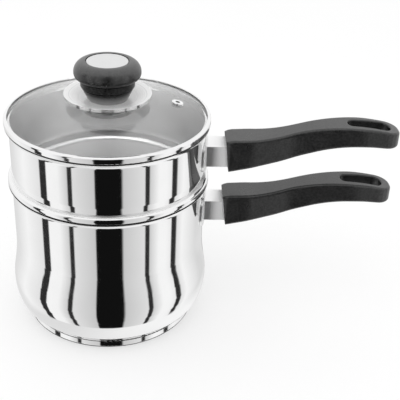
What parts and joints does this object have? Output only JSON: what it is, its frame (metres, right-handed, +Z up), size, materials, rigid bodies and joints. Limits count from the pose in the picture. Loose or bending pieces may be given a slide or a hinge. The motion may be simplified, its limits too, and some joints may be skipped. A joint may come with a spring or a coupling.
{
  "type": "double boiler",
  "caption": "Steel double boiler: a bellied lower pot, a nesting upper pan that seats on its lip, a domed glass lid with a knob, and long black grips with hang slots.",
  "frame": {"origin": "centre of the base's underside, on the common axis of pot, pan and lid", "axes": "+Z up along the axis of the pot, +X along both handles from the axis to their tips"},
  "size_m": [0.328, 0.1702, 0.2301],
  "materials": {
    "steel": "mirror polished",
    "aluminium": "as rolled",
    "grip": "satin moulded phenolic",
    "glass": "clear tempered",
    "gasket": "soft silicone",
    "brass": "machined"
  },
  "bodies": {
    "boiler": {"boiler_pot": "steel", "boiler_base_core": "aluminium", "boiler_base_cap": "steel", "boiler_handle_bracket": "steel", "boiler_handle_grip": "grip", "boiler_handle_screw": "steel"},
    "inset": {"inset_pan": "steel", "inset_handle_bracket": "steel", "inset_handle_grip": "grip", "inset_handle_screw": "steel"},
    "lid": {"lid_glass": "glass", "lid_rim_band": "steel", "lid_vent_eyelet": "steel", "knob_dish": "steel", "knob_body": "grip", "knob_cap_disc": "steel", "knob_bush": "brass", "knob_upper_gasket": "gasket", "knob_lower_gasket": "gasket", "knob_retainer_cup": "steel", "knob_screw": "steel"}
  },
  "joints": [
    {"name": "inset_lift", "type": "slide", "parent": "boiler", "child": "inset", "axis": [0, 0, 1], "range_m": [0, 0.12]},
    {"name": "lid_lift", "type": "slide", "parent": "inset", "child": "lid", "axis": [0, 0, 1], "range_m": [0, 0.08]}
  ]
}
